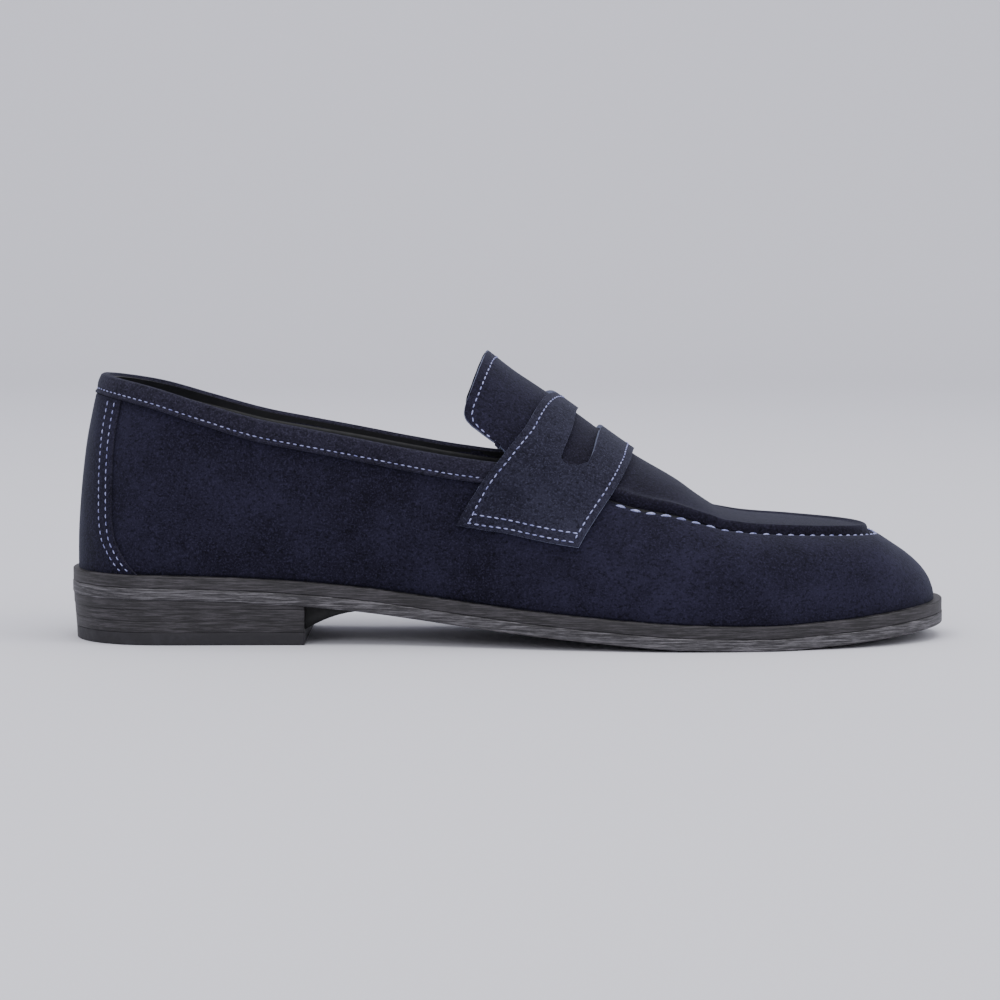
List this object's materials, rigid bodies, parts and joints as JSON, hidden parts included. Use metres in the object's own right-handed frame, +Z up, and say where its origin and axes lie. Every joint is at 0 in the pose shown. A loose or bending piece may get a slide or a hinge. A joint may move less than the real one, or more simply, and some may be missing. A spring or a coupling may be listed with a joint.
{
  "type": "penny loafer",
  "caption": "Right-foot moccasin-toe slip-on shoe in napped leather, with a slotted saddle strap, a lifting tongue flap and a low stacked heel.",
  "frame": {"origin": "centre of the footprint box, on the ground under the sole", "axes": "+X towards the toe, +Y towards the inner (medial) side of the right foot, +Z up"},
  "size_m": [0.3, 0.1032, 0.0974],
  "materials": {
    "suede": "napped suede, very matt",
    "strap_suede": "napped suede, slightly paler",
    "lining": "smooth dark lining leather",
    "sock_leather": "smooth dark leather",
    "stiffener_board": "fibre board",
    "cork": "granulated cork",
    "foam": "open-cell foam",
    "steel": "tempered spring steel",
    "sole_leather": "stacked leather, dyed black, fine grain lines",
    "heel_rubber": "matt black rubber",
    "thread": "waxed polyester thread"
  },
  "bodies": {
    "shoe": {"side_wall": "suede", "apron": "suede", "collar_band": "suede", "backstay": "suede", "saddle_strap": "strap_suede", "quarter_lining": "lining", "vamp_lining": "lining", "interlining": "lining", "sock_liner": "sock_leather", "heel_counter": "stiffener_board", "toe_puff": "stiffener_board", "insole_board": "stiffener_board", "bottom_filler": "cork", "heel_pad": "foam", "steel_shank": "steel", "heel_nails": "steel", "midsole": "sole_leather", "outsole": "sole_leather", "heel_wedge_lift": "sole_leather", "heel_lift_1": "sole_leather", "heel_lift_2": "sole_leather", "breast_fillet": "sole_leather", "heel_top_piece": "heel_rubber", "moc_seam_thread": "thread", "strap_thread": "thread", "collar_thread": "thread", "backstay_thread": "thread"},
    "tongue": {"tongue": "suede", "tongue_lining": "lining", "tongue_thread": "thread"}
  },
  "joints": [
    {"name": "tongue_lift", "type": "hinge", "parent": "shoe", "child": "tongue", "pos_m": [0.0135, 0, 0.083], "axis": [0, 1, 0], "range_deg": [0, 35], "stiffness_Nm_per_rad": 0.05}
  ]
}
